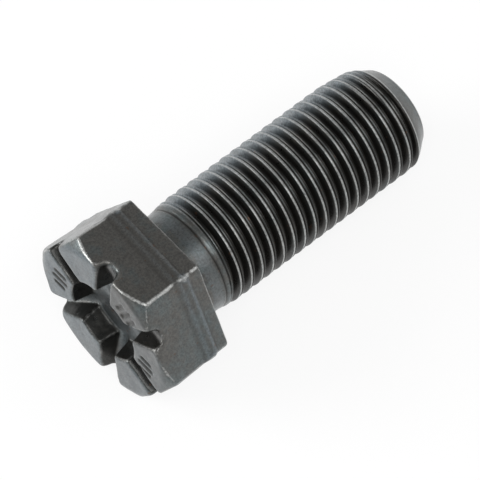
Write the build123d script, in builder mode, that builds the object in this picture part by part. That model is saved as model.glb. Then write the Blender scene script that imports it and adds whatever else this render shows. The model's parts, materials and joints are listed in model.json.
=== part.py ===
"""A ring gear bolt: a cold-forged steel hex bolt with a left-hand fine thread.

The head is forged with six radial slots that run into a central recess, so that six
corner blocks stand on a solid hex. The shank has a plain neck, a rolled left-hand
thread that runs out towards the head, and a smooth cone point.

The bolt lies as it comes to rest: on the lower edge of its bearing face and on a crest
near the end of its thread, so its axis dips towards the point. The origin is at the
middle of the bearing face, +Z is up, and the point lies towards +X.
"""

from build123d import *
import os
from math import atan2, cos, degrees, radians, sin, tan

# Driving dimensions, in millimetres and degrees.
# Distances along the bolt are measured from the bearing face.

# Head
across_flats = 15.4
head_height = 7.0
rim_thickness = 1.3
ridge_height = 2.0
waist_height = 3.1
ridge_growth = 0.25
front_growth = 0.45
corner_bevel = 0.2
crown_radius = 8.05
crown_angle = 40

# Slots and recess in the front of the head
slot_directions = (-1.5, 53.5, 115, 170.5, 234, 299)
slot_mouth = 1.9
slot_floor = 1.15
slot_outer_depth = 1.1
slot_inner_depth = 2.2
recess_radius = 4.1
recess_depth = 2.2
recess_draft = 8

# Shank
neck_diameter = 10.3
neck_bevel = 0.6
neck_end = 2.7
shank_length = 27.9
point_start = 26.55
point_start_diameter = 10.1
point_end_diameter = 8.0

# Left-hand thread, 20 turns to the inch, with its grooves cut to part of their depth
crest_diameter = 10.92
pitch = 25.4 / 20
crest_width = 0.26
groove_depth = 0.45
groove_start = 4.08
groove_turns = 17
run_out_length = 3.5
crest_start = 4.5
crest_taper_start = 24.2

# Where the bolt touches the surface that it lies on
rest_crest = 24.4
rest_tilt = degrees(atan2((across_flats - crest_diameter) / 2, rest_crest))

# The bolt's own planes: one across its axis at the bearing face, one along its axis.
towards_point = Vector(cos(radians(rest_tilt)), 0, -sin(radians(rest_tilt)))
upper_flat = Vector(sin(radians(rest_tilt)), 0, cos(radians(rest_tilt)))
bearing_face = Plane(origin=(0, 0, 0), x_dir=upper_flat, z_dir=towards_point)
lengthwise = Plane(origin=(0, 0, 0), x_dir=towards_point, z_dir=towards_point.cross(upper_flat))
bolt_axis = Axis((0, 0, 0), towards_point)

# How far a cutting tool reaches past the metal that it cuts
overcut = 2
lip = 0.2

with BuildPart() as ring_gear_bolt:
    # Hex of the head: a rim at the bearing face, a low ridge where the trimming
    # tool stopped, a waist, and flats that flare a little towards the front.
    sections = [
        (0, 0),
        (rim_thickness, 0),
        (ridge_height, ridge_growth),
        (waist_height, 0),
        (head_height, front_growth),
    ]
    for near, far in zip(sections, sections[1:]):
        for height, growth in (near, far):
            with BuildSketch(bearing_face.offset(-height)) as outline:
                RegularPolygon((across_flats + growth) / 2, 6, major_radius=False, rotation=30)
                chamfer(outline.vertices(), corner_bevel)
        loft(ruled=True)

    # Crown: a cone takes the front corners off the hex.
    corner_reach = across_flats / 2 / cos(radians(30)) + 1
    crown_drop = (corner_reach - crown_radius) * tan(radians(crown_angle))
    with BuildSketch(lengthwise) as crown:
        with BuildLine():
            Polyline(
                (0, 0),
                (0, corner_reach),
                (crown_drop - head_height, corner_reach),
                (-head_height, crown_radius),
                (-head_height, 0),
                close=True,
            )
        make_face()
    revolve(axis=bolt_axis, mode=Mode.INTERSECT)

    # Central recess, drafted so that the punch could leave it.
    with BuildSketch(bearing_face.offset(-head_height)):
        Circle(recess_radius)
    extrude(amount=recess_depth, taper=recess_draft, mode=Mode.SUBTRACT)

    # Radial slots: drafted troughs whose floors fall towards the recess.
    fall = (slot_inner_depth - slot_outer_depth) / (crown_radius - recess_radius)
    for direction in slot_directions:
        outward = upper_flat.rotate(bolt_axis, direction)
        for radius in (crown_radius + overcut, recess_radius - overcut / 2):
            depth = slot_inner_depth - fall * (radius - recess_radius)
            across = Plane(
                origin=outward * radius - towards_point * head_height,
                x_dir=towards_point.cross(outward),
                z_dir=outward,
            )
            with BuildSketch(across) as trough:
                with BuildLine():
                    Polyline(
                        (-slot_mouth / 2, 0),
                        (-slot_floor / 2, depth),
                        (slot_floor / 2, depth),
                        (slot_mouth / 2, 0),
                        close=True,
                    )
                make_face()
        loft(ruled=True, mode=Mode.SUBTRACT)

    # Shank: bevel under the head, neck, thread blank with its last turns tapered, point.
    neck_radius = neck_diameter / 2
    with BuildSketch(lengthwise) as blank:
        with BuildLine():
            Polyline(
                (neck_bevel, neck_radius),
                (neck_end, neck_radius),
                (crest_start, crest_diameter / 2),
                (crest_taper_start, crest_diameter / 2),
                (point_start, point_start_diameter / 2),
                (shank_length, point_end_diameter / 2),
                (shank_length, 0),
                (-rim_thickness, 0),
                (-rim_thickness, neck_radius + neck_bevel),
                (0, neck_radius + neck_bevel),
                close=True,
            )
        make_face()
    revolve(axis=bolt_axis)

    # Thread: one left-hand turn of groove after another, from the neck until the last
    # crest near the point. At the neck the groove runs out along its tangent.
    mouth = (pitch - crest_width) * (1 + lip / groove_depth)
    for turn in range(groove_turns):
        with BuildLine() as route:
            Helix(
                pitch,
                pitch,
                crest_diameter / 2,
                center=towards_point * (groove_start + turn * pitch),
                direction=towards_point,
                lefthand=True,
            )
        begin = route.edges()[0] @ 0
        heading = route.edges()[0] % 0
        with BuildSketch(Plane(origin=begin, x_dir=upper_flat, z_dir=heading)) as groove:
            with BuildLine():
                Polyline(
                    (-groove_depth, 0),
                    (lip, -mouth / 2),
                    (lip, mouth / 2),
                    close=True,
                )
            make_face()
        if turn == 0:
            run_out = groove.sketch
        sweep(path=route.wires()[0], is_frenet=True, mode=Mode.SUBTRACT)
    extrude(run_out, amount=-run_out_length, mode=Mode.SUBTRACT)

ring_gear_bolt.part.label = "ring_gear_bolt"
os.makedirs("parts", exist_ok=True)
export_step(ring_gear_bolt.part, "parts/ring_gear_bolt.step")
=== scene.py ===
"""Dresses the ring gear bolt: one piece of cold-forged steel with a dark phosphate finish.

The bolt is worked out in its own frame, in millimetres: x points out of the hex flat that
lies uppermost, z runs along the bolt towards its point, and the bearing face under the
head is at z = 0.
"""

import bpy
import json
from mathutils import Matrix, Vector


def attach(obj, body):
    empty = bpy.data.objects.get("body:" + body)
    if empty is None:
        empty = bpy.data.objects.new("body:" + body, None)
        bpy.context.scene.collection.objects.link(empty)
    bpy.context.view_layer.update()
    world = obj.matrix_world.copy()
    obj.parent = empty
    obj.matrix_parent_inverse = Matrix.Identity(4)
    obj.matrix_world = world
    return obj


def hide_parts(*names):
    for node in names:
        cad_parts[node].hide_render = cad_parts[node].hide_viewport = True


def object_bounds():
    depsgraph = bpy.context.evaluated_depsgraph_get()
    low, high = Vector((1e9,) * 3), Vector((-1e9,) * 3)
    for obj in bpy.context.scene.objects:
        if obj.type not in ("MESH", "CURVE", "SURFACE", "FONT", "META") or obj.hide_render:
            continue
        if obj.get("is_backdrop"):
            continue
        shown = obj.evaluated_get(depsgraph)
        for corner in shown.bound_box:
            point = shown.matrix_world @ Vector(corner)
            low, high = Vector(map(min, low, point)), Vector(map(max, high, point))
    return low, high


bl_info = {
    "name": "Ring Gear Bolt",
    "version": (1, 0, 0),
    "blender": (4, 5, 0),
    "location": "3D View > Sidebar > Ring Gear Bolt",
    "description": "Forges the slotted head, rolls the left-hand thread and finishes the steel",
    "category": "Object",
}

import json
from math import cos, pi, radians, sin, tan
from types import SimpleNamespace

import bpy
import numpy as np
from bpy.props import FloatProperty, FloatVectorProperty, IntProperty, PointerProperty
from mathutils import Euler, Matrix, Vector

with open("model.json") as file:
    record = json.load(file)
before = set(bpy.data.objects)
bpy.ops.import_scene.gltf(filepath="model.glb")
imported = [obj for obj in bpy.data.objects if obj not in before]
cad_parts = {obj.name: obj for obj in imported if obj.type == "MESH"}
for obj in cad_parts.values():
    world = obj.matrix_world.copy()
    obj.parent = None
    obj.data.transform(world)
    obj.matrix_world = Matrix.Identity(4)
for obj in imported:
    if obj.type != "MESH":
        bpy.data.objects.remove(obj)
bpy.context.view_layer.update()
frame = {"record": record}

MILLIMETRE = 0.001
TURN = 2 * pi

mounts = {mount["name"]: mount for mount in frame["record"]["mounts"]}
towards_point = Vector(mounts["thread"]["axis"]).normalized()
upper_flat = (Vector((0, 0, 1)) - towards_point * towards_point.z).normalized()
bolt_frame = Matrix((upper_flat, towards_point.cross(upper_flat), towards_point)).transposed().to_4x4()
bolt_frame.translation = Vector(mounts["thread"]["pos_m"])


# Sizes and colours that a user would change


class BoltSizes(bpy.types.PropertyGroup):
    """Lengths of the bolt, measured along it from the bearing face"""

    across_flats: FloatProperty(
        name="Across Flats", description="Width of the hex at its rim", default=0.0154, unit="LENGTH"
    )
    head_height: FloatProperty(
        name="Head Height", description="From the bearing face to the front", default=0.007, unit="LENGTH"
    )
    crown_radius: FloatProperty(
        name="Crown Radius", description="Where the front's chamfer begins", default=0.00805, unit="LENGTH"
    )
    recess_radius: FloatProperty(
        name="Recess Radius", description="Mouth of the recess in the front", default=0.0041, unit="LENGTH"
    )
    recess_depth: FloatProperty(
        name="Recess Depth", description="Floor of the recess below the front", default=0.0022, unit="LENGTH"
    )
    slot_mouth: FloatProperty(
        name="Slot Mouth", description="Width of a slot at the front", default=0.0019, unit="LENGTH"
    )
    slot_floor: FloatProperty(
        name="Slot Floor", description="Width of a slot at its floor", default=0.00115, unit="LENGTH"
    )
    slot_depth: FloatProperty(
        name="Slot Depth", description="Depth of a slot at the front's rim", default=0.0011, unit="LENGTH"
    )
    neck_radius: FloatProperty(
        name="Neck Radius", description="Plain neck under the head", default=0.00515, unit="LENGTH"
    )
    crest_radius: FloatProperty(
        name="Crest Radius", description="Radius over the thread's crests", default=0.00546, unit="LENGTH"
    )
    pitch: FloatProperty(
        name="Pitch", description="From one crest to the next", default=0.00127, unit="LENGTH"
    )
    thread_depth: FloatProperty(
        name="Thread Depth", description="From crest to root", default=0.00072, unit="LENGTH"
    )
    shank_length: FloatProperty(
        name="Shank Length", description="From the bearing face to the point", default=0.0279, unit="LENGTH"
    )


class BoltFinish(bpy.types.PropertyGroup):
    """Colours of the phosphated steel, and how fine the mesh is"""

    coat: FloatVectorProperty(
        name="Coat", description="Phosphate coat", subtype="COLOR", default=(0.096, 0.117, 0.119)
    )
    oiled_coat: FloatVectorProperty(
        name="Oiled Coat", description="Brownish coat where oil has dried", subtype="COLOR",
        default=(0.098, 0.095, 0.087),
    )
    # Painted shade: a near-black coat laid where shade falls, in the slots, hollows, strokes, thread flanks
    # and grooves, the ring at the neck, beside the ridges and on some block fronts
    painted_shade_coat: FloatVectorProperty(
        name="Sheltered Coat", description="Coat in slots and thread roots", subtype="COLOR",
        default=(0.016, 0.014, 0.011),
    )
    # A lighter coat: rubbing at the corner patches of the head, and painted light on the fronts of the
    # blocks, along the ridges, on the neck and as a painted sheen on one side of the thread
    rubbed_and_painted_light_coat: FloatVectorProperty(
        name="Rubbed Coat", description="Coat on the faces of the blocks", subtype="COLOR",
        default=(0.135, 0.17, 0.195),
    )
    # Bare steel on worn edges and crests, also used as a painted highlight on the second lip of the crests
    # and as a painted sheen on one side of the thread
    bare_steel_and_painted_highlight: FloatVectorProperty(
        name="Bare Steel", description="Steel on worn edges", subtype="COLOR", default=(0.55, 0.56, 0.55)
    )
    rust: FloatVectorProperty(
        name="Rust", description="Specks of rust", subtype="COLOR", default=(0.10, 0.05, 0.025)
    )
    mesh_step: FloatProperty(
        name="Mesh Step", description="Size of a face on the head", default=0.00015, unit="LENGTH"
    )
    columns: IntProperty(
        name="Columns", description="Faces round the shank", default=128
    )


def in_millimetres(group):
    """The lengths of a property group as plain numbers in millimetres."""
    return SimpleNamespace(**{name: getattr(group, name) / MILLIMETRE for name in group.__annotations__})


# Fields: numpy functions of points that are negative inside the metal, and what blends them


def smooth_max(first, second, rounding):
    """The larger of two fields, with the edge between them rounded off."""
    blend = np.maximum(rounding - np.abs(first - second), 0) / rounding
    return np.maximum(first, second) + blend * blend * rounding / 4


def smooth_min(first, second, rounding):
    """The smaller of two fields, with the corner between them filled."""
    return -smooth_max(-first, -second, rounding)


def smooth_step(start, end, value):
    """0 up to start, 1 from end on and a soft change between them, also where end is smaller."""
    share = np.clip((value - start) / (end - start), 0, 1)
    return share * share * (3 - 2 * share)


def plateau(value, rise, fall):
    """1 between a rise and a fall, each given by the values where it is 0 and where it is 1."""
    return smooth_step(*rise, value) * smooth_step(*fall, value)


def bell(value, middle, width):
    """1 at the middle, and next to nothing from two widths away."""
    return np.exp(-(((value - middle) / width) ** 2))


def ripples(points, wavelength, seed, count=14):
    """Gentle unevenness in waves of about one length, mostly between -2 and 2."""
    random = np.random.default_rng(seed)
    directions = random.normal(size=(count, 3))
    directions /= np.linalg.norm(directions, axis=1)[:, None]
    directions *= TURN / (wavelength * random.uniform(0.7, 1.5, count))[:, None]
    shifts = random.uniform(0, TURN, count)
    return np.sin(points @ directions.T + shifts).sum(-1) / (count / 2) ** 0.5


# How far the flats stand out beyond the rim, along the head: a trimmed strip at the rim,
# a ridge, a waist and a flare towards the front.
FLAT_HEIGHTS = (0, 1.25, 1.6, 2.2, 2.9, 4.3, 7.0)
FLAT_GROWTHS = (0, 0, 0.13, 0.12, 0.03, 0.11, 0.20)
# How far that pattern is shifted along the head on each flat, and how much it is askew
FLAT_SHIFTS = ((0.3, 0.04), (0, -0.01), (0.1, 0.02), (-0.1, -0.02), (0.15, 0), (0.05, 0.03))
CROWN_SLOPE = radians(40)
# How far the edges between the head's surfaces are rounded off
CORNER_ROUNDING = 0.34
CROWN_ROUNDING = 0.3
RIM_ROUNDING = 0.25
NECK_FILLET = 1.2
# How far the neck is carried on inside the head
NECK_OVERLAP = 1

# Each slot's direction in degrees from the uppermost flat's normal, and its width as a
# share of the usual one: the forging die is a little uneven.
SLOTS = ((-1.5, 0.97), (53.5, 1.0), (115, 1.0), (170.5, 1.05), (234, 1.0), (299, 0.95))
# Where a slot begins, from the axis, and its least depth as a share of that at the rim
SLOT_START = 1.5
SLOT_LEAST_DEPTH = 0.8
SLOT_FLOOR_ROUNDING = 0.5
# The slots' edges grow rounder between two distances from the axis.
SLOT_EDGE_ROUNDING = 0.2
SLOT_LIP_ROUNDING = 0.5
SLOT_LIP_REACH = (7.0, 8.0)
RECESS_DRAFT = radians(8)
RECESS_FLOOR_ROUNDING = 0.35
# How far the corners are filled where the slots meet the recess
CUTS_FILLET = 0.25

# Plain strokes stamped into three blocks: direction, distance from the axis, places across
# the block and half length
STAMPED_BLOCKS = (30, 92, 270)
STROKE_RADIUS = 5.7
STROKE_PLACES = (-0.85, 0, 0.85)
STROKE_LENGTHS = (0.5, 0.75, 0.6)
STROKE_DEPTH = 0.15
STROKE_WIDTH = 0.2
STROKE_EDGE_ROUNDING = 0.06

# Unevenness of the forging, as a size, the length of its waves and a seed: first of the
# rounded edges, then of the surface, which is set back by about the size of its bumps.
EDGE_RIPPLES = (0.35, 3.5, 3)
SURFACE_RIPPLES = ((0.007, 2.4, 5), (0.004, 0.8, 6))
SET_BACK = 0.009

# Wear of the head, and the light and shade painted on it. Two values for one effect are those where it is 0
# and where it is full.
# Curvature is measured over a reach and is per millimetre. How squarely the surface faces
# the front is the cosine of its tilt.
CURVE_REACH = 0.12
EDGE_CURVES = (0.9, 3.2)
HOLLOW_CURVES = (-0.8, -3)
FRONT_FACING = (0.8, 0.95)
WALL_FACING = (0.9, 0.5)
# Distances from the slots and recess, and from the strokes, over which their effects fade
CUTS_FADE = (0.25, 0)
STROKE_FADE = (0.12, 0)
# Distances from a flat over which its lines and its oil fade
LINE_FADE = (0.2, 0.1)
OIL_FADE = (0.25, 0.1)
# How dark the painted shade makes the slots' walls, the hollows and the strokes
WALL_PAINTED_SHADE = 0.86
HOLLOW_PAINTED_SHADE = 0.5
STROKE_PAINTED_SHADE = 0.8
# How much less painted light the recess gets than the fronts of the blocks
RECESS_PAINTED_LIGHT_LOSS = 0.5

# How bare the edges of the blocks are, and for each flat its corner with the next, its edge
# at the front and its edge at the rim
BLOCK_WEAR = 0.36
CORNER_WEAR = (1.0, 0.7, 0.7, 0.7, 0.7, 0.8)
FRONT_WEAR = (1.0, 0.7, 0.6, 0.6, 0.6, 0.8)
RIM_WEAR = (0.4, 0.8, 0.5, 0.5, 0.5, 0.5)
# How wide those bare lines are, and where along the head the one at a corner ends
CORNER_WIDTH = 0.26
EDGE_WIDTH = 0.2
CORNER_ENDS = (6.4, 6.1)
# Places along the head where the bare corners are covered again, how long those are and how
# much of the corner is covered there
CORNER_BREAKS = ((1.05, 0.2), (2.7, 0.35))
CORNER_COVER = 0.75
# A patch on each corner: its place along the head and length, its width where it is rubbed
# and where it is bare, and how bare it is
CORNER_PATCH = (1.85, 0.3)
PATCH_RUBBED_WIDTH = 0.6
PATCH_BARE_WIDTH = 0.5
PATCH_BARENESS = 0.7
# Painted highlights: faint light lines along the ridge of each flat, where it catches the light, as height,
# width and strength, and how strong they are on each flat
PAINTED_HIGHLIGHT_LINES = ((1.5, 0.16, 0.5), (2.3, 0.2, 0.3))
RIDGE_HIGHLIGHT_STRENGTHS = (0.8, 1.6, 1.0, 1.0, 1.0, 1.0)
# Painted shade: faint dark lines beside the ridge, where its slope turns from the light, given in the same
# way, and alike on all flats
PAINTED_SHADE_LINES = ((1.95, 0.16, 0.25), (2.75, 0.22, 0.3))
RIDGE_SHADE_STRENGTHS = (1, 1, 1, 1, 1, 1)
# How oily each flat is
FLAT_OIL = (1.0, 0.2, 0.0, 0.1, 0.4, 0.0)
# How much painted light and how much painted shade lie on the front of each block, beginning with the one
# before the second slot: lighter on one side of the head, darker on the other
BLOCK_PAINTED_LIGHT = (0.1, 0.4, 0.7, 0.8, 0.85, 0.85)
BLOCK_PAINTED_SHADE = (0.5, 0.35, 0.2, 0, 0, 0)


def slot_field(sizes, points, direction, share):
    """One radial slot, which falls from the rim of the front to the recess."""
    x, y, z = np.moveaxis(points, -1, 0)
    outward = x * cos(direction) + y * sin(direction)
    sideways = np.abs(y * cos(direction) - x * sin(direction))
    below = z + sizes.head_height
    fall = (sizes.recess_depth - sizes.slot_depth) / (sizes.crown_radius - sizes.recess_radius)
    depth = sizes.slot_depth + fall * (sizes.crown_radius - outward)
    depth = np.clip(depth, sizes.slot_depth * SLOT_LEAST_DEPTH, sizes.recess_depth)
    spread = (sizes.slot_mouth - sizes.slot_floor) / 2
    half_width = share * (sizes.slot_mouth / 2 - spread * below / depth)
    slot = smooth_max(sideways - half_width, below - depth, SLOT_FLOOR_ROUNDING)
    return smooth_max(slot, SLOT_START - outward, SLOT_FLOOR_ROUNDING)


def front_cuts(sizes, points):
    """The recess and slots, as one field that is negative in the space they leave."""
    radius = np.hypot(points[..., 0], points[..., 1])
    front = -points[..., 2] - sizes.head_height
    wall = radius - sizes.recess_radius - front * tan(RECESS_DRAFT)
    cuts = smooth_max(wall, -front - sizes.recess_depth, RECESS_FLOOR_ROUNDING)
    for direction, share in SLOTS:
        slot = slot_field(sizes, points, radians(direction), share)
        cuts = smooth_min(cuts, slot, CUTS_FILLET)
    return cuts


def stamped_strokes(sizes, points):
    """Plain strokes stamped side by side into the front of three blocks."""
    strokes = None
    above = (points[..., 2] + sizes.head_height) / STROKE_DEPTH * STROKE_WIDTH
    for direction in STAMPED_BLOCKS:
        angle = radians(direction)
        outward = points[..., 0] * cos(angle) + points[..., 1] * sin(angle) - STROKE_RADIUS
        across = points[..., 1] * cos(angle) - points[..., 0] * sin(angle)
        for place, half_length in zip(STROKE_PLACES, STROKE_LENGTHS):
            past_end = np.maximum(np.abs(outward) - half_length, 0)
            stroke = (past_end**2 + (across - place) ** 2 + above**2) ** 0.5 - STROKE_WIDTH
            strokes = stroke if strokes is None else np.minimum(strokes, stroke)
    return strokes


def flat_sides(sizes, points):
    """A field for each flat of the hex, and each point's height on that flat's pattern."""
    x, y, z = np.moveaxis(points, -1, 0)
    sides = []
    heights = []
    for face, (shift, skew) in enumerate(FLAT_SHIFTS):
        angle = face * TURN / 6
        along = y * cos(angle) - x * sin(angle)
        heights.append(-z - shift - skew * along)
        growth = np.interp(heights[-1], FLAT_HEIGHTS, FLAT_GROWTHS)
        sides.append(x * cos(angle) + y * sin(angle) - sizes.across_flats / 2 - growth)
    return sides, heights


def crown_cone(sizes, points):
    """The chamfer round the front."""
    radius = np.hypot(points[..., 0], points[..., 1])
    front = -points[..., 2] - sizes.head_height
    return (radius - sizes.crown_radius) * sin(CROWN_SLOPE) + front * cos(CROWN_SLOPE)


def head_field(sizes, points, uneven=True):
    """The forged head with the start of the neck."""
    x, y, z = np.moveaxis(points, -1, 0)
    radius = np.hypot(x, y)
    size, wavelength, seed = EDGE_RIPPLES
    softening = 1 + size * ripples(points, wavelength, seed) if uneven else 1
    head, *others = flat_sides(sizes, points)[0]
    for side in others:
        head = smooth_max(head, side, CORNER_ROUNDING * softening)
    front = -z - sizes.head_height
    crown = smooth_max(front, crown_cone(sizes, points), CROWN_ROUNDING)
    head = smooth_max(head, crown, CROWN_ROUNDING * softening)
    head = smooth_max(head, z, RIM_ROUNDING)
    neck = np.maximum(radius - sizes.neck_radius, -NECK_OVERLAP - z)
    head = smooth_min(head, neck, NECK_FILLET)
    head = smooth_max(head, -stamped_strokes(sizes, points), STROKE_EDGE_ROUNDING)
    lip_growth = SLOT_LIP_ROUNDING - SLOT_EDGE_ROUNDING
    lip = SLOT_EDGE_ROUNDING + lip_growth * smooth_step(*SLOT_LIP_REACH, radius)
    head = smooth_max(head, -front_cuts(sizes, points), lip * softening)
    if uneven:
        for size, wavelength, seed in SURFACE_RIPPLES:
            head = head + size * ripples(points, wavelength, seed)
        head = head + SET_BACK
    return head


def edge_line(first, second, width):
    """1 along the edge where two surfaces meet, and 0 further than a width from it."""
    return smooth_step(width, width / 2, np.maximum(np.abs(first), np.abs(second)))


def surface_shape(sizes, points):
    """How sharply the head's surface curves at each point, and how squarely it faces the front."""
    curve = -6 * head_field(sizes, points)
    slope = []
    for way in np.eye(3) * CURVE_REACH:
        ahead = head_field(sizes, points + way)
        behind = head_field(sizes, points - way)
        slope.append((ahead - behind) / (2 * CURVE_REACH))
        curve += ahead + behind
    curve /= CURVE_REACH * CURVE_REACH
    return curve, -slope[2] / np.sqrt(slope[0] ** 2 + slope[1] ** 2 + slope[2] ** 2)


def edge_wear(sizes, points, sides):
    """How bare and how rubbed the head is along the edges of its flats."""
    bare = rubbed = 0
    height = -points[:, 2]
    crown = crown_cone(sizes, points)
    patch = bell(height, *CORNER_PATCH)
    for face, side in enumerate(sides):
        beside = sides[(face + 1) % 6]
        corner = edge_line(side, beside, CORNER_WIDTH) * smooth_step(*CORNER_ENDS, height)
        for place, length in CORNER_BREAKS:
            corner *= 1 - CORNER_COVER * bell(height, place, length)
        bare_patch = PATCH_BARENESS * CORNER_WEAR[face] * patch
        bare = np.maximum(bare, bare_patch * edge_line(side, beside, PATCH_BARE_WIDTH))
        bare = np.maximum(bare, CORNER_WEAR[face] * corner)
        bare = np.maximum(bare, FRONT_WEAR[face] * edge_line(side, crown, EDGE_WIDTH))
        bare = np.maximum(bare, RIM_WEAR[face] * edge_line(side, points[:, 2], EDGE_WIDTH))
        rubbed = np.maximum(rubbed, patch * edge_line(side, beside, PATCH_RUBBED_WIDTH))
    return bare, rubbed


def lines_on_flats(lines, shares, sides, heights):
    """Faint lines round the head, each as strong on a flat as its own strength and the flat's share."""
    strongest = 0
    for share, side, height in zip(shares, sides, heights):
        for place, width, strength in lines:
            line = bell(height, place, width) * share * smooth_step(*LINE_FADE, np.abs(side))
            strongest = np.maximum(strongest, strength * line)
    return strongest


def head_wear_and_painted_light(sizes, points):
    """How worn, rubbed and oily the head's surface is at each point, and the light and shade painted on it,
    as shares.
    """
    curve, facing_front = surface_shape(sizes, points)
    sides, heights = flat_sides(sizes, points)
    cut = smooth_step(*CUTS_FADE, front_cuts(sizes, points))
    stamped = smooth_step(*STROKE_FADE, stamped_strokes(sizes, points))
    on_front = smooth_step(*FRONT_FACING, facing_front)
    past_first_slot = np.degrees(np.arctan2(points[:, 1], points[:, 0])) - SLOTS[0][0]
    block = np.searchsorted([slot - SLOTS[0][0] for slot, _ in SLOTS[1:]], past_first_slot % 360)

    bare_edges, rubbed_edges = edge_wear(sizes, points, sides)
    worn = np.maximum(BLOCK_WEAR * smooth_step(*EDGE_CURVES, curve), bare_edges)

    # Painted light on the block fronts and along the ridges, and rubbing at the corner patches
    rubbed = on_front * (1 - RECESS_PAINTED_LIGHT_LOSS * cut) * (1 - stamped)
    rubbed = np.maximum(rubbed * np.array(BLOCK_PAINTED_LIGHT)[block], rubbed_edges)
    rubbed = np.maximum(rubbed, lines_on_flats(PAINTED_HIGHLIGHT_LINES, RIDGE_HIGHLIGHT_STRENGTHS, sides, heights))

    # Painted shade in the slots, hollows and strokes, on some block fronts and beside the ridges
    sheltered = WALL_PAINTED_SHADE * cut * smooth_step(*WALL_FACING, facing_front)
    sheltered = np.maximum(sheltered, HOLLOW_PAINTED_SHADE * smooth_step(*HOLLOW_CURVES, curve))
    sheltered = np.maximum(sheltered, STROKE_PAINTED_SHADE * stamped)
    sheltered = np.maximum(sheltered, on_front * (1 - cut) * np.array(BLOCK_PAINTED_SHADE)[block])
    sheltered = np.maximum(sheltered, lines_on_flats(PAINTED_SHADE_LINES, RIDGE_SHADE_STRENGTHS, sides, heights))

    on_flat = [oil * smooth_step(*OIL_FADE, np.abs(side)) for oil, side in zip(FLAT_OIL, sides)]
    return worn, rubbed, sheltered, np.max(on_flat, axis=0)


# Shank, as a radius at each angle round the bolt and place along it

# Outline of the neck, the blank under the thread and the point
OUTLINE_PLACES = (0, 2.6, 2.8, 2.96, 3.12, 3.26, 3.8, 4.5, 23.6, 25.0, 26.0, 27.75, 27.9)
OUTLINE_RADII = (5.15, 5.15, 5.2, 5.15, 5.24, 5.3, 5.34, 5.46, 5.46, 5.36, 5.22, 4.12, 3.9)
# The point stands a little off the bolt's axis, between two places where it is on the axis.
POINT_SHIFT = 0.15
POINT_SHIFT_DIRECTION = radians(118)
POINT_SHIFT_RISE = (22, 25)
POINT_SHIFT_FALL = (27.7, 26.5)
# One side of the point is flattened, more and more towards its end.
FLATTENED_SIDE = radians(-5)
FLATTENED_REACH = radians(60)
FLATTENED_DEPTH = 0.22
FLATTENED_RISE = (26.2, 27.7)

# Thread: where the line of its first crest lies at angle 0, where its seam and second lip
# begin, and the places between which its grooves grow deep
FIRST_CREST = 3.448
THREAD_START = 3.4
RUN_OUT = (2.4, 4.1)
# Where the thread gives way to the cone of the point, as angles in degrees and places, and
# the length over which it does
THREAD_END_ANGLES = (-180, -75, 100, 180)
THREAD_END_PLACES = (26.7, 26.67, 26.05, 26.7)
THREAD_END_LENGTH = 0.07
# Each crest has two lips with a seam between them, at these places beyond the crest's line.
CREST_START = -0.02
SEAM_PLACE = 0.27
CREST_END = 0.45
SEAM_DEPTH = 0.18
SEAM_WIDTH = 0.075
SECOND_LIP_DROP = 0.05
SECOND_LIP_FALL = (0.12, 0.3)
# Slope of its flanks, and how far its edges and corners are rounded
FLANK_ANGLE = radians(27)
CREST_ROUNDING = 0.03
ROOT_ROUNDING = 0.08
BLANK_ROUNDING = 0.04

# Wear of the shank and the light and shade painted on it, with two values for one effect as on the head.
# Along the
# bolt: where the thread's wear and painted shade begin, where the painted light on the neck ends, and where
# the painted shade on the point begins
THREAD_WEAR_AND_SHADE_RISE = (3.2, 3.9)
# Painted light over the whole neck, which lies in the shade of the head
NECK_PAINTED_LIGHT = 0.35
NECK_PAINTED_LIGHT_FALL = (2.8, 2.6)
# Painted shade on the point, and where it begins
POINT_PAINTED_SHADE = 0.25
POINT_PAINTED_SHADE_RISE = (26.0, 26.3)
# Painted shade: the dark ring in the shallow groove where the neck ends, its place and width
PAINTED_SHADE_RING = (2.96, 0.13)
# Across a crest: the two lips and the seam, how bare the first lip is, how strong the painted highlight on
# the second lip is, and how much painted shade the second lip sheds
FIRST_LIP = ((CREST_START - 0.04, CREST_START + 0.01), (SEAM_PLACE - 0.06, SEAM_PLACE - 0.1))
SECOND_LIP = ((SEAM_PLACE + 0.09, SEAM_PLACE + 0.13), (CREST_END + 0.01, CREST_END - 0.02))
SEAM = ((SEAM_PLACE - 0.1, SEAM_PLACE - 0.06), (SEAM_PLACE + 0.11, SEAM_PLACE + 0.07))
FIRST_LIP_WEAR = 0.78
SECOND_LIP_HIGHLIGHT = 0.6
SECOND_LIP_SHADE_LOSS = 0.7
# The painted highlight on the second lip lies only on this side of the bolt, where the light catches the
# crests.
SECOND_LIP_HIGHLIGHT_SIDE = radians(15)
SECOND_LIP_HIGHLIGHT_REACH = radians(32)
# Painted shade in the grooves: the depths and places where it grows, and how dark it makes them
GROOVE_DEPTHS = (0.15, 0.35)
GROOVE_START = (CREST_END, CREST_END + 0.05)
THREAD_PAINTED_SHADE = 0.75
GROOVE_PAINTED_SHADE = 0.22
# Painted sheen on one side of the thread, between two angles in degrees: lighter coat, partly bare steel, no
# painted shade
PAINTED_SHEEN_SIDE = ((-150, -110), (-8, -48))
PAINTED_SHEEN_LIGHT = 1.3
PAINTED_SHEEN_HIGHLIGHT = 0.42
# How oily the shank is, and the angles in degrees between which that grows
SHANK_OIL = 0.4
SHANK_OIL_RISE = (10, -30)

# Distances from a crest's line, in shares of the pitch, at which the mesh has a line of points
PROFILE_MARKS = (
    0, 0.07, 0.125, 0.16, 0.197, 0.23, 0.265, 0.30, 0.34, 0.37, 0.41,
    0.49, 0.58, 0.665, 0.75, 0.84, 0.92, 0.961, 0.98,
)
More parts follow.
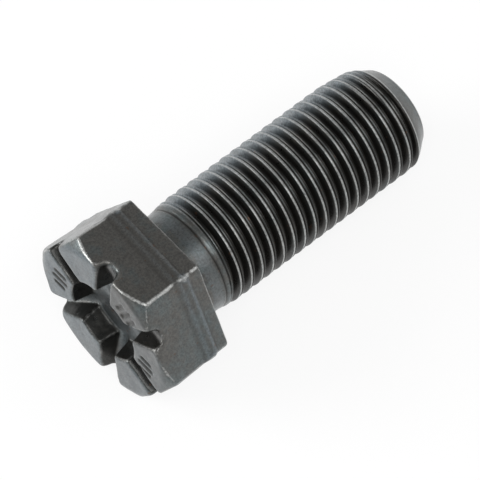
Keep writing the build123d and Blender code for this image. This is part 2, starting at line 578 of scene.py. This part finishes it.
# Places of the rows of points round the plain neck and the point, and sizes of the rings in
# its end, as shares of its edge
NECK_ROWS = (1.6, 2.1, 2.5, 2.72, 2.8, 2.88, 2.96, 3.04, 3.12, 3.2)
POINT_ROWS = (26.75, 27.1, 27.5, 27.66, 27.72, 27.8)
END_RINGS = (0.93, 0.75, 0.5, 0.25)


def crest_line(sizes, angle):
    """Where the first crest lies at that angle. The thread is left-hand."""
    return FIRST_CREST - sizes.pitch * angle / TURN


def beyond_crest(sizes, angle, along):
    """How far a place is beyond the line of the crest that it belongs to."""
    crest_middle = (CREST_START + CREST_END) / 2
    start = 0.5 - crest_middle / sizes.pitch
    turns = (along - crest_line(sizes, angle)) / sizes.pitch
    return (turns - np.floor(turns + start)) * sizes.pitch


def wrapped(angle):
    """The angle brought between minus half a turn and half a turn."""
    return np.arctan2(np.sin(angle), np.cos(angle))


def past_thread(angle, along):
    """1 on the cone of the point, past the end of the thread, and 0 before it."""
    end = np.interp(np.degrees(wrapped(angle)), THREAD_END_ANGLES, THREAD_END_PLACES)
    return smooth_step(end, end + THREAD_END_LENGTH, along)


def blank_radius(angle, along):
    """Radius of the neck, the blank and the leaning, flattened point, before the thread is rolled."""
    radius = np.interp(along, OUTLINE_PLACES, OUTLINE_RADII)
    lean = POINT_SHIFT * np.cos(angle - POINT_SHIFT_DIRECTION)
    lean = lean * smooth_step(*POINT_SHIFT_RISE, along) * smooth_step(*POINT_SHIFT_FALL, along)
    flattening = FLATTENED_DEPTH * bell(wrapped(angle), FLATTENED_SIDE, FLATTENED_REACH)
    return radius + lean - flattening * smooth_step(*FLATTENED_RISE, along)


def shank_radius(sizes, angle, along):
    """Radius of the neck, thread and point."""
    crest_middle = (CREST_START + CREST_END) / 2
    beyond = beyond_crest(sizes, angle, along)
    off_crest = np.abs(beyond - crest_middle)
    slope = (off_crest - (CREST_END - CREST_START) / 2) / tan(FLANK_ANGLE)
    groove = smooth_min(smooth_max(slope, 0, CREST_ROUNDING), sizes.thread_depth, ROOT_ROUNDING)
    side = np.where(beyond > crest_middle, 0.5, -0.5)
    groove_place = along - beyond + crest_middle + side * sizes.pitch
    groove = np.maximum(groove - (1 - smooth_step(*RUN_OUT, groove_place)) * sizes.thread_depth, 0)
    has_lips = along > THREAD_START
    groove = groove + SECOND_LIP_DROP * smooth_step(*SECOND_LIP_FALL, beyond) * has_lips
    on_thread = 1 - past_thread(angle, along)
    thread = sizes.crest_radius - groove * on_thread
    seam = SEAM_DEPTH * bell(beyond, SEAM_PLACE, SEAM_WIDTH) * on_thread * has_lips
    return smooth_min(blank_radius(angle, along), thread, BLANK_ROUNDING) - seam


def shank_wear_and_painted_light(sizes, points):
    """How worn and oily the shank's surface is at each point, and the highlights, light and shade painted on
    it, as shares.
    """
    angle = np.arctan2(points[:, 1], points[:, 0])
    degrees = np.degrees(angle)
    along = points[:, 2]
    depth = sizes.crest_radius - np.hypot(points[:, 0], points[:, 1])
    beyond = beyond_crest(sizes, angle, along)
    threaded = smooth_step(*THREAD_WEAR_AND_SHADE_RISE, along) * (1 - past_thread(angle, along))
    first_lip = plateau(beyond, *FIRST_LIP)
    # Painted highlight on the second lip, on one side of the bolt only
    highlighted_second_lip = plateau(beyond, *SECOND_LIP) * bell(angle, SECOND_LIP_HIGHLIGHT_SIDE, SECOND_LIP_HIGHLIGHT_REACH)
    painted_sheen = plateau(degrees, *PAINTED_SHEEN_SIDE)

    worn = np.maximum(FIRST_LIP_WEAR * first_lip, SECOND_LIP_HIGHLIGHT * highlighted_second_lip) * threaded
    worn = np.maximum(worn, PAINTED_SHEEN_HIGHLIGHT * painted_sheen * threaded)

    # Painted light on the neck, and painted sheen on one side of the thread
    rubbed = NECK_PAINTED_LIGHT * smooth_step(*NECK_PAINTED_LIGHT_FALL, along) + PAINTED_SHEEN_LIGHT * painted_sheen * threaded

    # Painted shade on the thread's flanks and grooves, at the ring by the neck and on the point
    deep = np.maximum(smooth_step(*GROOVE_DEPTHS, depth), smooth_step(*GROOVE_START, beyond))
    deep = np.maximum(deep, plateau(beyond, *SEAM))
    sheltered = (THREAD_PAINTED_SHADE + GROOVE_PAINTED_SHADE * deep) * (1 - painted_sheen)
    lips = np.maximum(first_lip, SECOND_LIP_SHADE_LOSS * highlighted_second_lip)
    sheltered = sheltered * (1 - lips) * threaded
    sheltered = np.maximum(sheltered, bell(along, *PAINTED_SHADE_RING))
    on_point = POINT_PAINTED_SHADE * smooth_step(*POINT_PAINTED_SHADE_RISE, along)
    sheltered = np.maximum(sheltered, on_point * (1 - first_lip))

    return worn, rubbed, sheltered, SHANK_OIL * smooth_step(*SHANK_OIL_RISE, degrees) * (1 - painted_sheen)


# Meshes, as a list of points and a list of faces

# How far the net round the head reaches from the axis, as a share of the width across flats
HEAD_REACH = 0.6


def surface_net(field, low, high, step):
    """Points and quads of the surface where a field is zero, and the points of its top layer."""
    ticks = [np.arange(start, end + step / 2, step) for start, end in zip(low, high)]
    inside = field(np.stack(np.meshgrid(*ticks, indexing="ij"), -1)) < 0
    corners = np.zeros([len(tick) - 1 for tick in ticks], int)
    for i in (0, 1):
        for j in (0, 1):
            for k in (0, 1):
                corners += inside[i : i - 1 or None, j : j - 1 or None, k : k - 1 or None]
    crossed = (corners > 0) & (corners < 8)
    number = np.cumsum(crossed).reshape(crossed.shape) - 1
    cells = np.argwhere(crossed)
    points = np.array(low) + (cells + 0.5) * step
    quads = []
    for axis in range(3):
        before = np.moveaxis(inside, axis, 0)[:-1]
        after = np.moveaxis(inside, axis, 0)[1:]
        cell_number = np.moveaxis(number, axis, 0)
        along, first, second = np.nonzero((before != after)[:, 1:-1, 1:-1])
        quad = np.stack(
            [cell_number[along, first + i, second + j] for i, j in ((0, 0), (1, 0), (1, 1), (0, 1))], 1
        )
        outwards = before[:, 1:-1, 1:-1][along, first, second] ^ (axis == 1)
        quads.append(np.where(outwards[:, None], quad, quad[:, ::-1]))
    return points, np.concatenate(quads), np.nonzero(cells[:, 2] == cells[:, 2].max())[0]


def pulled_onto(field, points, rounds=4, nudge=0.01, least_steepness=0.2, longest_pull=0.1):
    """The points moved along the field's slope until they lie where it is zero."""
    for _ in range(rounds):
        slope = np.stack(
            [
                (field(points + nudge * way) - field(points - nudge * way)) / (2 * nudge)
                for way in np.eye(3)
            ],
            -1,
        )
        steepness = np.maximum((slope * slope).sum(-1, keepdims=True), least_steepness)
        pull = field(points)[:, None] * slope / steepness
        points = points - np.clip(pull, -longest_pull, longest_pull)
    return points


def evened_out(points, quads, fixed, share=0.5):
    """The points moved part of the way to the middle of their neighbours, but for the fixed ones."""
    middle = np.zeros_like(points)
    neighbours = np.zeros(len(points))
    for i in range(4):
        np.add.at(middle, quads[:, i], points[quads[:, (i + 1) % 4]])
        np.add.at(neighbours, quads[:, i], 1)
    middle /= np.maximum(neighbours, 1)[:, None]
    middle[fixed] = points[fixed]
    return points + share * (middle - points)


def boundary_loop(quads, members):
    """The open edge of a net that runs through some of its points, in order."""
    edges = np.sort(np.concatenate([quads[:, [i, (i + 1) % 4]] for i in range(4)]), axis=1)
    edges, uses = np.unique(edges, axis=0, return_counts=True)
    inside = np.isin(edges, members).all(axis=1)
    neighbours = {}
    for a, b in edges[(uses == 1) & inside].tolist():
        neighbours.setdefault(a, []).append(b)
        neighbours.setdefault(b, []).append(a)
    loop = [min(neighbours)]
    before = None
    while True:
        onward = [point for point in neighbours[loop[-1]] if point != before]
        before = loop[-1]
        if onward[0] == loop[0]:
            return loop
        loop.append(onward[0])


def in_rising_order(points, loop):
    """A loop of points, begun and turned so that their angles rise from 0, and those angles."""
    angles = np.unwrap(np.arctan2(points[loop, 1], points[loop, 0]))
    if angles[-1] < angles[0]:
        loop = loop[::-1]
        angles = angles[::-1]
    start = int(np.argmin(angles % TURN))
    loop = loop[start:] + loop[:start]
    angles = np.unwrap(np.arctan2(points[loop, 1], points[loop, 0]))
    return loop, angles - TURN * np.floor(angles[0] / TURN)


def zipped(first, second, first_angles, second_angles):
    """Triangles between two rings of points, given with their rising angles."""
    triangles = []
    i = j = 0
    while i < len(first) or j < len(second):
        next_first = first_angles[(i + 1) % len(first)] + TURN * ((i + 1) // len(first))
        next_second = second_angles[(j + 1) % len(second)] + TURN * ((j + 1) // len(second))
        if j == len(second) or (i < len(first) and next_first < next_second):
            triangles.append((first[i % len(first)], first[(i + 1) % len(first)], second[j % len(second)]))
            i += 1
        else:
            triangles.append((first[i % len(first)], second[(j + 1) % len(second)], second[j % len(second)]))
            j += 1
    return triangles


def straight_rows(sizes, points, faces, ring, places):
    """Continues the shank from a ring of points with rows round it at these places."""
    columns = len(ring)
    angles = TURN * np.arange(columns) / columns
    towards_head = places[0] < points[ring[0], 2]
    for place in places:
        radius = shank_radius(sizes, angles, place)
        row = list(range(len(points), len(points) + columns))
        added = [radius * np.cos(angles), radius * np.sin(angles), np.full(columns, place)]
        points = np.concatenate([points, np.stack(added, 1)])
        below, above = (row, ring) if towards_head else (ring, row)
        for start in range(columns):
            onward = (start + 1) % columns
            faces.append([below[start], below[onward], above[onward], above[start]])
        ring = row
    return points, ring


def shank_mesh(sizes, columns):
    """Points and faces of the shank, whose lines of points follow the thread's crests.

    The lines reach past both ends of the thread, where they are clipped, and the points
    that fall together there become one.
    """
    marks = len(PROFILE_MARKS)
    turns = int(sizes.shank_length / sizes.pitch) + 3
    lines = (np.arange(turns)[:, None] - 1 + np.array(PROFILE_MARKS)).ravel() * sizes.pitch
    angles = TURN * np.arange(columns) / columns
    along = np.clip(lines[:, None] + crest_line(sizes, angles), NECK_ROWS[-1], POINT_ROWS[0])
    column = np.broadcast_to(np.arange(columns), along.shape)
    keys = np.stack([np.round(along, 3).ravel(), column.ravel()], 1)
    _, chosen, number = np.unique(keys, axis=0, return_index=True, return_inverse=True)
    number = number.reshape(along.shape)
    along = along.ravel()[chosen]
    angle = angles[column.ravel()[chosen]]
    radius = shank_radius(sizes, angle, along)
    points = np.stack([radius * np.cos(angle), radius * np.sin(angle), along], 1)
    following = np.concatenate([number[:, 1:], np.roll(number[:, :1], marks, axis=0)], 1)
    following[:marks, -1] = number[0, 0]
    quads = np.stack([number[:-1], following[:-1], following[1:], number[1:]], -1).reshape(-1, 4)
    faces = []
    for quad in quads.tolist():
        face = [point for place, point in enumerate(quad) if point != quad[place - 1]]
        if len(set(face)) > 2:
            faces.append(face)
    points, neck_ring = straight_rows(sizes, points, faces, number[0].tolist(), NECK_ROWS[-2::-1])
    rows = (*POINT_ROWS[1:], sizes.shank_length)
    points, point_ring = straight_rows(sizes, points, faces, number[-1].tolist(), rows)
    return points, faces, neck_ring, point_ring


def end_face(sizes, points, faces, ring, columns):
    """Closes the point with rings that run in to its middle."""
    rings = [ring]
    edge = np.array([points[number] for number in ring])
    for share in END_RINGS:
        inner = edge * (share, share, 1)
        rings.append(list(range(len(points), len(points) + columns)))
        points = np.concatenate([points, inner])
    for outer, inner in zip(rings, rings[1:]):
        for place in range(columns):
            onward = (place + 1) % columns
            faces.append([outer[place], outer[onward], inner[onward], inner[place]])
    centre = len(points)
    points = np.concatenate([points, [(0, 0, sizes.shank_length)]])
    for place in range(columns):
        faces.append([rings[-1][place], rings[-1][(place + 1) % columns], centre])
    return points, faces


def head_mesh(sizes, step):
    """Points and quads of the head, open where the neck goes on, and the points of that edge."""
    reach = sizes.across_flats * HEAD_REACH
    low = (-reach, -reach, -sizes.head_height - 2 * step)
    high = (reach, reach, NECK_ROWS[0] - step / 2)

    def plain(points):
        return head_field(sizes, points, uneven=False)

    def forged(points):
        return head_field(sizes, points)

    points, quads, top = surface_net(plain, low, high, step)
    points = evened_out(pulled_onto(plain, points), quads, top)
    return pulled_onto(forged, points), quads, top


def bolt_mesh(sizes, step, columns):
    """Points and faces of the whole bolt, as one closed surface, and its wear and painted light and shade at
    each point.
    """
    head, quads, top = head_mesh(sizes, step)
    loop, loop_angles = in_rising_order(head, boundary_loop(quads, top))
    shank, faces, start_ring, end_ring = shank_mesh(sizes, columns)
    shank, faces = end_face(sizes, shank, faces, end_ring, columns)
    faces = [[point + len(head) for point in face] for face in faces]
    start_ring = [point + len(head) for point in start_ring]
    faces += zipped(loop, start_ring, loop_angles, TURN * np.arange(columns) / columns)
    wear_and_painted_light = np.concatenate([head_wear_and_painted_light(sizes, head), shank_wear_and_painted_light(sizes, shank)], axis=1)
    return np.concatenate([head, shank]), quads.tolist() + faces, wear_and_painted_light


# The mesh carries its wear and its painted light and shade to the material under these names.
WEAR_AND_PAINTED_LIGHT_NAMES = ("worn", "rubbed", "sheltered", "oily")


def new_mesh_object(name, points, faces, wear_and_painted_light):
    """A smooth-shaded object from points in the bolt's own frame, in millimetres."""
    turn = np.array(bolt_frame.to_3x3())
    placed = points * MILLIMETRE @ turn.T + np.array(bolt_frame.translation)
    mesh = bpy.data.meshes.new(name)
    mesh.from_pydata(placed.tolist(), [], faces)
    mesh.polygons.foreach_set("use_smooth", [True] * len(mesh.polygons))
    for mask_name, amounts in zip(WEAR_AND_PAINTED_LIGHT_NAMES, wear_and_painted_light):
        mesh.attributes.new(mask_name, "FLOAT", "POINT").data.foreach_set("value", amounts)
    mesh.update()
    piece = bpy.data.objects.new(name, mesh)
    bpy.context.scene.collection.objects.link(piece)
    return piece


# Shader nodes


class Wire:
    """A shader socket that can stand in sums and products, where it adds Math nodes."""

    def __init__(self, tree, socket):
        self.tree = tree
        self.socket = socket

    def math(self, operation, other, clamp=False):
        """One Math node with this socket as its first value."""
        settings = {"operation": operation, "use_clamp": clamp}
        return self.tree.node("ShaderNodeMath", settings, self, other)

    def __add__(self, other):
        return self.math("ADD", other)

    def __sub__(self, other):
        return self.math("SUBTRACT", other)

    def __rsub__(self, other):
        return self.tree.node("ShaderNodeMath", {"operation": "SUBTRACT"}, other, self)

    def __mul__(self, other):
        return self.math("MULTIPLY", other)

    __radd__ = __add__
    __rmul__ = __mul__


class Tree:
    """A material's or world's nodes."""

    def __init__(self, owner):
        owner.use_nodes = True
        self.nodes = owner.node_tree.nodes
        self.links = owner.node_tree.links
        self.nodes.clear()

    def node(self, kind, settings, *values, output=0, **named):
        """A new node: its settings are set first, then its sockets' values or links.

        Values go to the first sockets in turn, and named ones to the socket of that name.
        """
        node = self.nodes.new(kind)
        for name, setting in settings.items():
            if name == "stops":
                self.set_stops(node.color_ramp, setting)
            else:
                setattr(node, name, setting)
        sockets = list(enumerate(values)) + list(named.items())
        for name, value in sockets:
            socket = node.inputs[name.replace("_", " ") if isinstance(name, str) else name]
            if isinstance(value, Wire):
                self.links.new(value.socket, socket)
            else:
                socket.default_value = value
        return Wire(self, node.outputs[output]) if node.outputs else None

    @staticmethod
    def set_stops(ramp, stops):
        """Puts a colour ramp's stops, given as (place, grey)."""
        while len(ramp.elements) < len(stops):
            ramp.elements.new(1)
        for element, (place, grey) in zip(ramp.elements, stops):
            element.position = place
            element.color = (grey, grey, grey, 1)

    def noise(self, place, scale, detail, roughness):
        """Noise between 0 and 1 at points in metres, scale being bumps per metre."""
        return self.node(
            "ShaderNodeTexNoise", {}, Vector=place, Scale=scale, Detail=detail, Roughness=roughness
        )

    def ramp(self, value, *stops):
        """A value through a ramp of greys."""
        return self.node("ShaderNodeValToRGB", {"stops": stops}, value)

    def mix(self, share, first, second):
        """A colour between two others."""
        node = self.node("ShaderNodeMix", {"data_type": "RGBA"}, Factor=share, output=2)
        for number, colour in ((6, first), (7, second)):
            socket = node.socket.node.inputs[number]
            if isinstance(colour, Wire):
                self.links.new(colour.socket, socket)
            else:
                socket.default_value = (*colour, 1)
        return node


# Noises of the finish, each as bumps per metre, detail and roughness
CLOUDS = (260, 4, 0.55)
BLOTCHES = (1100, 5, 0.65)
GRAINS = (4500, 4, 0.8)
SPECKS = (1500, 2, 0.55)
# How they, the wear and the painted light and shade are turned into shares, as pairs of a value and a grey,
# and the most that rust and bare steel with its painted highlights cover of the coat
RUSTY_STOPS = ((0.70, 0), (0.74, 1))
BARE_STOPS = ((0.3, 0), (0.8, 1))
OILED_STOPS = ((0.43, 0), (0.59, 1))
PITTED_STOPS = ((0.36, 0.6), (0.6, 0))
MOST_RUST = 0.6
MOST_BARE_STEEL_AND_HIGHLIGHT = 0.6
PIT_COLOUR = (0.03, 0.03, 0.03)
BUMP_HEIGHT = 0.00004


def steel_material(finish):
    """Dark phosphated steel: uneven coat, worn edges, a few specks of rust, and painted highlights, painted
    light and painted shade.
    """
    material = bpy.data.materials.new("phosphated_steel")
    tree = Tree(material)
    place = tree.node("ShaderNodeTexCoord", {}, output=3)
    worn, rubbed, sheltered, oily = (
        tree.node("ShaderNodeAttribute", {"attribute_name": name}, output=2) for name in WEAR_AND_PAINTED_LIGHT_NAMES
    )
    cloud = tree.noise(place, *CLOUDS)
    blotch = tree.noise(place, *BLOTCHES)
    grain = tree.noise(place, *GRAINS)
    rusty = tree.ramp(tree.noise(place, *SPECKS), *RUSTY_STOPS) * MOST_RUST
    # Bare steel on worn edges, and painted highlights where the mask holds them
    bare = tree.ramp(worn + (blotch - 0.5) * 0.5 + (grain - 0.5) * 0.3, *BARE_STOPS) * MOST_BARE_STEEL_AND_HIGHLIGHT
    oiled = tree.ramp(cloud * 0.5 + blotch * 0.4 + grain * 0.1 + oily * 0.1, *OILED_STOPS)
    pitted = tree.ramp(grain, *PITTED_STOPS)

    colour = tree.mix(oiled, tuple(finish.coat), tuple(finish.oiled_coat))
    # Lighter coat for rubbing and for painted light
    colour = tree.mix(rubbed * (0.7 + (blotch - 0.5) * 1.5), colour, tuple(finish.rubbed_and_painted_light_coat))
    # Painted shade
    colour = tree.mix(sheltered, colour, tuple(finish.painted_shade_coat))
    colour = tree.mix(rusty, colour, tuple(finish.rust))
    colour = tree.mix(bare, colour, tuple(finish.bare_steel_and_painted_highlight))
    colour = tree.mix(pitted, colour, PIT_COLOUR)

    roughness = 0.38 + (blotch - 0.5) * 0.3 - sheltered * 0.08
    gloss = 0.55 + (grain - 0.5) * 1.2 - sheltered * sheltered * 0.55
    height = blotch * 0.6 + grain * 0.5
    bump = tree.node("ShaderNodeBump", {}, Strength=0.5, Distance=BUMP_HEIGHT, Height=height)
    shader = tree.node(
        "ShaderNodeBsdfPrincipled", {}, Base_Color=colour, Metallic=0.75, Roughness=roughness,
        Normal=bump, Coat_Weight=gloss, Coat_Roughness=0.25,
    )
    tree.node("ShaderNodeOutputMaterial", {}, Surface=shader)
    return material


# Operators


class RINGGEARBOLT_OT_bolt(bpy.types.Operator):
    """Forge the head, roll the thread and finish the steel of the bolt"""

    bl_idname = "ring_gear_bolt.bolt"
    bl_label = "Make the Bolt"

    def execute(self, context):
        scene = context.scene
        sizes = in_millimetres(scene.bolt_sizes)
        finish = scene.bolt_finish
        points, faces, wear_and_painted_light = bolt_mesh(sizes, finish.mesh_step / MILLIMETRE, finish.columns)
        bolt = new_mesh_object("forged_bolt", points, faces, wear_and_painted_light)
        bolt.data.materials.append(steel_material(finish))
        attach(bolt, "root")
        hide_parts("ring_gear_bolt")
        return {"FINISHED"}


class RINGGEARBOLT_OT_stage(bpy.types.Operator):
    """Lay the pale floor, set up the lamps and place the camera"""

    bl_idname = "ring_gear_bolt.stage"
    bl_label = "Set the Stage"

    def execute(self, context):
        scene = context.scene
        lay_floor(scene)
        light_world(scene)
        for name, place, size, power in LAMPS:
            add_lamp(scene, name, Vector(place), size, power)
        place_camera(scene)
        return {"FINISHED"}


# Stage, in metres and watts

FLOOR_REACH = 0.6
FLOOR_COLOUR = (0.93, 0.93, 0.93, 1)
# The floor is partly plain white to these rays, and only paper to those that light the bolt.
SEEN_BY = ("Is Camera Ray", "Is Glossy Ray", "Is Transmission Ray")
FLOOR_WHITE = 0.85

HORIZON_LIGHT = 1.0
ZENITH_LIGHT = 0.34

# Lamps: name, place from the middle of the bolt, size and power
LAMPS = (
    ("key_softbox", (-0.42, 0.36, 0.24), 0.35, 2.8),
    ("camera_softbox", (-0.18, -0.24, 0.5), 0.3, 1.2),
    ("side_softbox", (0.28, -0.3, 0.43), 0.35, 0.7),
)

# The camera's turn is in degrees, and its lens and sensor are in millimetres.
CAMERA_PLACE = (-0.106069, -0.141371, 0.339976)
CAMERA_TURN = (27.862, 1.402, -41.802)
CAMERA_LENS = 326.2
CAMERA_SENSOR = 36


def lay_floor(scene):
    """A pale floor at the height that the bolt rests on."""
    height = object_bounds()[0][2]
    sides = ((-1, -1), (1, -1), (1, 1), (-1, 1))
    corners = [(x * FLOOR_REACH, y * FLOOR_REACH, height) for x, y in sides]
    mesh = bpy.data.meshes.new("floor")
    mesh.from_pydata(corners, [], [(0, 1, 2, 3)])
    floor = bpy.data.objects.new("floor", mesh)
    scene.collection.objects.link(floor)
    material = bpy.data.materials.new("floor")
    tree = Tree(material)
    rays = [tree.node("ShaderNodeLightPath", {}, output=name) for name in SEEN_BY]
    seen = (rays[0] + rays[1]).math("ADD", rays[2], clamp=True)
    paper = tree.node("ShaderNodeBsdfDiffuse", {}, Color=FLOOR_COLOUR)
    white = tree.node("ShaderNodeEmission", {}, Color=(1, 1, 1, 1), Strength=1.0)
    shader = tree.node("ShaderNodeMixShader", {}, seen * FLOOR_WHITE, paper, white)
    tree.node("ShaderNodeOutputMaterial", {}, Surface=shader)
    mesh.materials.append(material)
    floor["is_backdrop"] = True


def light_world(scene):
    """A studio with pale walls and a darker ceiling."""
    world = bpy.data.worlds.new("studio")
    scene.world = world
    tree = Tree(world)
    way = tree.node("ShaderNodeTexCoord", {}, output=0)
    height = tree.node("ShaderNodeSeparateXYZ", {}, way, output=2).math("MAXIMUM", 0)
    low = 1 - height
    light = ZENITH_LIGHT + (HORIZON_LIGHT - ZENITH_LIGHT) * low * low
    shader = tree.node("ShaderNodeBackground", {}, Color=(1, 1, 1, 1), Strength=light)
    tree.node("ShaderNodeOutputWorld", {}, Surface=shader)


def add_lamp(scene, name, place, size, power):
    """A square softbox that faces the middle of the bolt."""
    low, high = (Vector(corner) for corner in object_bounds())
    middle = (low + high) / 2
    light = bpy.data.lights.new(name, "AREA")
    light.size = size
    light.energy = power
    lamp = bpy.data.objects.new(name, light)
    lamp.location = middle + place
    lamp.rotation_euler = place.to_track_quat("Z", "Y").to_euler()
    scene.collection.objects.link(lamp)


def place_camera(scene):
    """A long lens that looks down on the head."""
    data = bpy.data.cameras.new("camera")
    data.lens = CAMERA_LENS
    data.sensor_width = CAMERA_SENSOR
    data.clip_end = 10
    camera = bpy.data.objects.new("camera", data)
    camera.location = CAMERA_PLACE
    camera.rotation_euler = Euler([radians(angle) for angle in CAMERA_TURN])
    scene.collection.objects.link(camera)
    scene.camera = camera


class RINGGEARBOLT_PT_panel(bpy.types.Panel):
    """Lists the bolt's sizes, colours and operators"""

    bl_label = "Ring Gear Bolt"
    bl_idname = "RINGGEARBOLT_PT_panel"
    bl_space_type = "VIEW_3D"
    bl_region_type = "UI"
    bl_category = "Ring Gear Bolt"

    def draw(self, context):
        layout = self.layout
        for group in (context.scene.bolt_sizes, context.scene.bolt_finish):
            for name in group.__annotations__:
                layout.prop(group, name)
        for operator in OPERATORS:
            layout.operator(operator.bl_idname)


OPERATORS = (RINGGEARBOLT_OT_bolt, RINGGEARBOLT_OT_stage)
CLASSES = (BoltSizes, BoltFinish, *OPERATORS, RINGGEARBOLT_PT_panel)


def register():
    for cls in CLASSES:
        bpy.utils.register_class(cls)
    bpy.types.Scene.bolt_sizes = PointerProperty(type=BoltSizes)
    bpy.types.Scene.bolt_finish = PointerProperty(type=BoltFinish)


def unregister():
    del bpy.types.Scene.bolt_finish
    del bpy.types.Scene.bolt_sizes
    for cls in reversed(CLASSES):
        bpy.utils.unregister_class(cls)


def main():
    register()
    bpy.context.scene.view_settings.view_transform = "Standard"
    bpy.ops.ring_gear_bolt.stage()
    bpy.ops.ring_gear_bolt.bolt()


if __name__ == "__main__":
    main()
